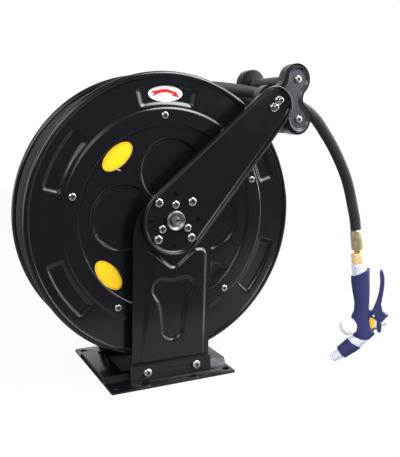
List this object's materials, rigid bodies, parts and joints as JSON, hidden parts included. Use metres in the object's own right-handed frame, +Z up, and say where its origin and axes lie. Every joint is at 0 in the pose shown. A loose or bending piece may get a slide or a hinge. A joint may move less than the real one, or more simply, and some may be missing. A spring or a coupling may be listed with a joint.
{
  "type": "hose reel",
  "caption": "Hose reel on a bolt-down base: a spring-wound steel drum between posts, angled arms with a roller hose guide, and a rubber hose that ends in a trigger spray gun.",
  "frame": {"origin": "centre of the base plate's underside, in the plane of its foot holes", "axes": "+X to the side where the hose leaves, +Y away from the viewer along the drum axis, +Z up from the mounting face"},
  "size_m": [0.6874, 0.2225, 0.5574],
  "materials": {
    "black_steel": "semi-gloss powder coat",
    "bright_zinc": "bright zinc plate",
    "dark_steel": "satin",
    "bare_steel": "turned",
    "grey_zinc": "dull zinc plate",
    "spring_steel": "oiled",
    "cast_guide": "semi-gloss",
    "roller_grey": "satin",
    "roller_black": "satin",
    "brass": "machined",
    "seal_rubber": "matte",
    "hose_rubber": "matte",
    "ferrule_zinc": "yellow zinc plate",
    "nut_brass": "machined",
    "chrome_trim": "polished",
    "navy_grip": "soft touch",
    "yellow_lock": "moulded"
  },
  "bodies": {
    "frame": {"base_plate": "black_steel", "front_post": "black_steel", "rear_post": "black_steel", "base_bolts": "bright_zinc", "base_nuts": "bright_zinc", "front_arm": "black_steel", "rear_arm": "black_steel", "arm_bolts": "bright_zinc", "arm_nuts": "bright_zinc", "front_boss": "dark_steel", "rear_boss": "dark_steel", "boss_bolts": "bright_zinc", "hub_cup": "grey_zinc", "main_shaft": "bare_steel", "shaft_seals": "seal_rubber", "inlet_elbow": "brass", "near_guide_plate": "cast_guide", "far_guide_plate": "cast_guide", "guide_bolts": "bright_zinc", "roller_axles": "bare_steel", "axle_screws": "bright_zinc", "spring_arbor": "dark_steel", "pawl_pin": "bare_steel", "pawl_spring": "spring_steel", "hose_free": "hose_rubber", "hose_ferrule": "ferrule_zinc", "hose_nut": "nut_brass", "gun_inlet": "chrome_trim", "gun_body": "navy_grip", "gun_dome": "chrome_trim", "gun_band": "chrome_trim", "trigger_pin": "chrome_trim", "lock_pin": "bright_zinc"},
    "drum": {"front_flange": "black_steel", "rear_flange": "black_steel", "drum_barrel": "black_steel", "flange_screws": "bright_zinc", "front_hub": "dark_steel", "rear_hub": "dark_steel", "front_bush": "brass", "rear_bush": "brass", "spring_case": "dark_steel", "spring_cover": "dark_steel", "power_spring": "spring_steel", "ratchet_wheel": "dark_steel", "outlet_pipe": "brass", "pipe_nut": "brass", "hose_core": "hose_rubber", "hose_wound": "hose_rubber"},
    "top_roller": {"top_roller": "roller_grey"},
    "bottom_roller": {"bottom_roller": "roller_black"},
    "pawl": {"pawl": "dark_steel"},
    "trigger_lever": {"trigger_lever": "navy_grip"},
    "valve": {"valve_stem": "chrome_trim", "valve_knob": "chrome_trim"},
    "trigger_lock": {"trigger_lock": "yellow_lock"},
    "nozzle": {"nozzle_sleeve": "navy_grip", "nozzle_tip": "chrome_trim"}
  },
  "joints": [
    {"name": "drum_spin", "type": "hinge", "parent": "frame", "child": "drum", "pos_m": [0, 0, 0.25], "axis": [0, 1, 0], "continuous": true},
    {"name": "top_roller_spin", "type": "hinge", "parent": "frame", "child": "top_roller", "pos_m": [0.214, 0, 0.46902], "axis": [0, 1, 0], "continuous": true},
    {"name": "bottom_roller_spin", "type": "hinge", "parent": "frame", "child": "bottom_roller", "pos_m": [0.219, 0, 0.40602], "axis": [0, 1, 0], "continuous": true},
    {"name": "pawl_swing", "type": "hinge", "parent": "frame", "child": "pawl", "pos_m": [-0.0545, 0.053, 0.23016], "axis": [0, 1, 0], "range_deg": [0, 20], "stiffness_Nm_per_rad": 0.3, "springref_deg": -17.19},
    {"name": "trigger_squeeze", "type": "hinge", "parent": "frame", "child": "trigger_lever", "pos_m": [0.44344, -0.04723, 0.04], "axis": [-0.6756, -0.7373, 0], "range_deg": [0, 9], "stiffness_Nm_per_rad": 1.5, "springref_deg": -22.92},
    {"name": "valve_pull", "type": "slide", "parent": "frame", "child": "valve", "axis": [0.541, -0.4957, 0.6794], "range_m": [0, 0.0043]},
    {"name": "lock_swing", "type": "hinge", "parent": "frame", "child": "trigger_lock", "pos_m": [0.4416, -0.04554, 0.0315], "axis": [-0.6756, -0.7373, 0], "range_deg": [0, 5]},
    {"name": "nozzle_twist", "type": "hinge", "parent": "frame", "child": "nozzle", "pos_m": [0.4253, -0.03061, -0.0136], "axis": [0.541, -0.4957, 0.6794], "range_deg": [0, 270]}
  ],
  "couplings": [
    {"joint": "valve_pull", "follows": "trigger_squeeze", "m_per_rad": 0.0271}
  ]
}
